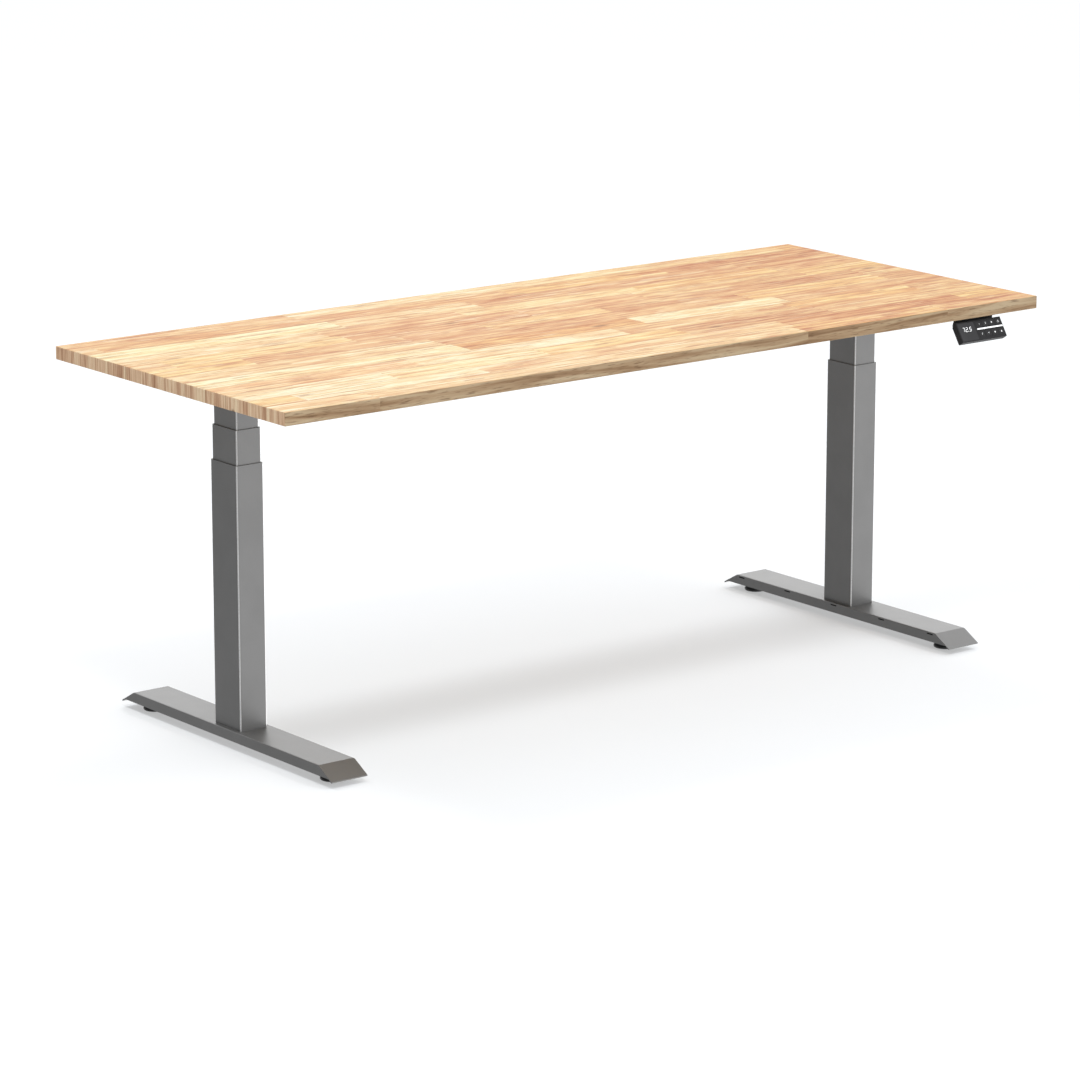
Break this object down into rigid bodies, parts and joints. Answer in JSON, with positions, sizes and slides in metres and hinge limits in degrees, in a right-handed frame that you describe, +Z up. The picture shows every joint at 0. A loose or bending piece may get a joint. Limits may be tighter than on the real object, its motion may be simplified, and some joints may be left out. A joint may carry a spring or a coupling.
{
  "type": "height adjustable standing desk",
  "caption": "Electric sit-stand desk: finger-jointed wooden top on two telescopic three-stage columns with flat channel feet and a handset at the right front edge.",
  "frame": {"origin": "on the floor under the middle of the desktop", "axes": "+X along the desktop to the seated person's right, -Y towards the seated person, +Z up"},
  "size_m": [1.8, 0.7679, 0.709],
  "materials": {
    "board": "oiled satin, finger-jointed rubberwood staves",
    "frame_paint": "fine textured powder coat",
    "bare_steel": "oiled machined steel",
    "black_steel": "black oxide",
    "zinc_steel": "zinc plated",
    "nylon": "natural nylon",
    "gear_alloy": "as cast",
    "motor_paint": "satin black",
    "glide_plastic": "black moulded",
    "box_plastic": "fine grained",
    "inlet_plastic": "smooth moulded",
    "handset_plastic": "fine grained",
    "handset_face": "satin membrane",
    "display_window": "smoked window",
    "light_bar": "white translucent",
    "key_plastic": "satin",
    "lead_jacket": "flexible jacket",
    "clip_plastic": "moulded"
  },
  "bodies": {
    "base": {"left_foot": "frame_paint", "right_foot": "frame_paint", "left_outer_tube": "frame_paint", "right_outer_tube": "frame_paint", "column_bases": "bare_steel", "outer_guides": "nylon", "lower_nut_tubes": "bare_steel", "foot_bolts": "black_steel", "glide_inserts": "bare_steel"},
    "top": {"left_inner_tube": "frame_paint", "right_inner_tube": "frame_paint", "inner_guides": "nylon", "left_gearbox": "gear_alloy", "right_gearbox": "gear_alloy", "left_motor": "motor_paint", "right_motor": "motor_paint", "left_arm": "frame_paint", "right_arm": "frame_paint", "left_rails": "frame_paint", "right_rails": "frame_paint", "centre_rails": "frame_paint", "desktop": "board", "desktop_screws": "zinc_steel", "frame_screws": "black_steel", "control_box_base": "box_plastic", "control_box_lid": "box_plastic", "mains_inlet": "inlet_plastic", "handset_housing": "handset_plastic", "handset_faceplate": "handset_face", "handset_display": "display_window", "handset_light_bar": "light_bar", "handset_bracket": "handset_plastic", "handset_screws": "zinc_steel", "left_motor_lead": "lead_jacket", "right_motor_lead": "lead_jacket", "handset_lead": "lead_jacket", "cable_clips": "clip_plastic"},
    "middle_left": {"left_middle_tube": "frame_paint", "left_middle_guides": "nylon", "left_middle_carrier": "bare_steel"},
    "hollow_screw_left": {"left_hollow_screw": "bare_steel"},
    "top_screw_left": {"left_top_screw": "bare_steel"},
    "middle_right": {"right_middle_tube": "frame_paint", "right_middle_guides": "nylon", "right_middle_carrier": "bare_steel"},
    "hollow_screw_right": {"right_hollow_screw": "bare_steel"},
    "top_screw_right": {"right_top_screw": "bare_steel"},
    "key_preset_1_cap": {"key_preset_1": "key_plastic"},
    "key_preset_2_cap": {"key_preset_2": "key_plastic"},
    "key_preset_3_cap": {"key_preset_3": "key_plastic"},
    "key_preset_4_cap": {"key_preset_4": "key_plastic"},
    "key_up_cap": {"key_up": "key_plastic"},
    "key_down_cap": {"key_down": "key_plastic"},
    "key_timer_cap": {"key_timer": "key_plastic"},
    "key_lock_cap": {"key_lock": "key_plastic"},
    "left_front_glide_foot": {"left_front_glide": "glide_plastic"},
    "left_rear_glide_foot": {"left_rear_glide": "glide_plastic"},
    "right_front_glide_foot": {"right_front_glide": "glide_plastic"},
    "right_rear_glide_foot": {"right_rear_glide": "glide_plastic"}
  },
  "joints": [
    {"name": "lift", "type": "slide", "parent": "base", "child": "top", "axis": [0, 0, 1], "range_m": [-0.084, 0.566]},
    {"name": "left_middle_slide", "type": "slide", "parent": "base", "child": "middle_left", "axis": [0, 0, 1], "range_m": [-0.042, 0.283]},
    {"name": "left_hollow_screw_turn", "type": "hinge", "parent": "middle_left", "child": "hollow_screw_left", "pos_m": [-0.75, 0, 0.3], "axis": [0, 0, 1], "range_deg": [-1512.01, 10188.01]},
    {"name": "left_top_screw_turn", "type": "hinge", "parent": "top", "child": "top_screw_left", "pos_m": [-0.75, 0, 0.3], "axis": [0, 0, 1], "range_deg": [-1512.01, 10188.01]},
    {"name": "right_middle_slide", "type": "slide", "parent": "base", "child": "middle_right", "axis": [0, 0, 1], "range_m": [-0.042, 0.283]},
    {"name": "right_hollow_screw_turn", "type": "hinge", "parent": "middle_right", "child": "hollow_screw_right", "pos_m": [0.75, 0, 0.3], "axis": [0, 0, 1], "range_deg": [-1512.01, 10188.01]},
    {"name": "right_top_screw_turn", "type": "hinge", "parent": "top", "child": "top_screw_right", "pos_m": [0.75, 0, 0.3], "axis": [0, 0, 1], "range_deg": [-1512.01, 10188.01]},
    {"name": "key_preset_1_press", "type": "slide", "parent": "top", "child": "key_preset_1_cap", "axis": [0, 0.8425, -0.5388], "range_m": [0, 0.0006], "stiffness_N_per_m": 800, "springref_m": -0.0004},
    {"name": "key_preset_2_press", "type": "slide", "parent": "top", "child": "key_preset_2_cap", "axis": [0, 0.8425, -0.5388], "range_m": [0, 0.0006], "stiffness_N_per_m": 800, "springref_m": -0.0004},
    {"name": "key_preset_3_press", "type": "slide", "parent": "top", "child": "key_preset_3_cap", "axis": [0, 0.8425, -0.5388], "range_m": [0, 0.0006], "stiffness_N_per_m": 800, "springref_m": -0.0004},
    {"name": "key_preset_4_press", "type": "slide", "parent": "top", "child": "key_preset_4_cap", "axis": [0, 0.8425, -0.5388], "range_m": [0, 0.0006], "stiffness_N_per_m": 800, "springref_m": -0.0004},
    {"name": "key_up_press", "type": "slide", "parent": "top", "child": "key_up_cap", "axis": [0, 0.8425, -0.5388], "range_m": [0, 0.0006], "stiffness_N_per_m": 800, "springref_m": -0.0004},
    {"name": "key_down_press", "type": "slide", "parent": "top", "child": "key_down_cap", "axis": [0, 0.8425, -0.5388], "range_m": [0, 0.0006], "stiffness_N_per_m": 800, "springref_m": -0.0004},
    {"name": "key_timer_press", "type": "slide", "parent": "top", "child": "key_timer_cap", "axis": [0, 0.8425, -0.5388], "range_m": [0, 0.0006], "stiffness_N_per_m": 800, "springref_m": -0.0004},
    {"name": "key_lock_press", "type": "slide", "parent": "top", "child": "key_lock_cap", "axis": [0, 0.8425, -0.5388], "range_m": [0, 0.0006], "stiffness_N_per_m": 800, "springref_m": -0.0004},
    {"name": "left_front_glide_level", "type": "slide", "parent": "base", "child": "left_front_glide_foot", "axis": [0, 0, 1], "range_m": [-0.008, 0.002]},
    {"name": "left_rear_glide_level", "type": "slide", "parent": "base", "child": "left_rear_glide_foot", "axis": [0, 0, 1], "range_m": [-0.008, 0.002]},
    {"name": "right_front_glide_level", "type": "slide", "parent": "base", "child": "right_front_glide_foot", "axis": [0, 0, 1], "range_m": [-0.008, 0.002]},
    {"name": "right_rear_glide_level", "type": "slide", "parent": "base", "child": "right_rear_glide_foot", "axis": [0, 0, 1], "range_m": [-0.008, 0.002]}
  ],
  "couplings": [
    {"joint": "left_middle_slide", "follows": "lift", "ratio": 0.5},
    {"joint": "left_hollow_screw_turn", "follows": "lift", "rad_per_m": 314.16},
    {"joint": "left_top_screw_turn", "follows": "lift", "rad_per_m": 314.16},
    {"joint": "right_middle_slide", "follows": "lift", "ratio": 0.5},
    {"joint": "right_hollow_screw_turn", "follows": "lift", "rad_per_m": 314.16},
    {"joint": "right_top_screw_turn", "follows": "lift", "rad_per_m": 314.16}
  ]
}
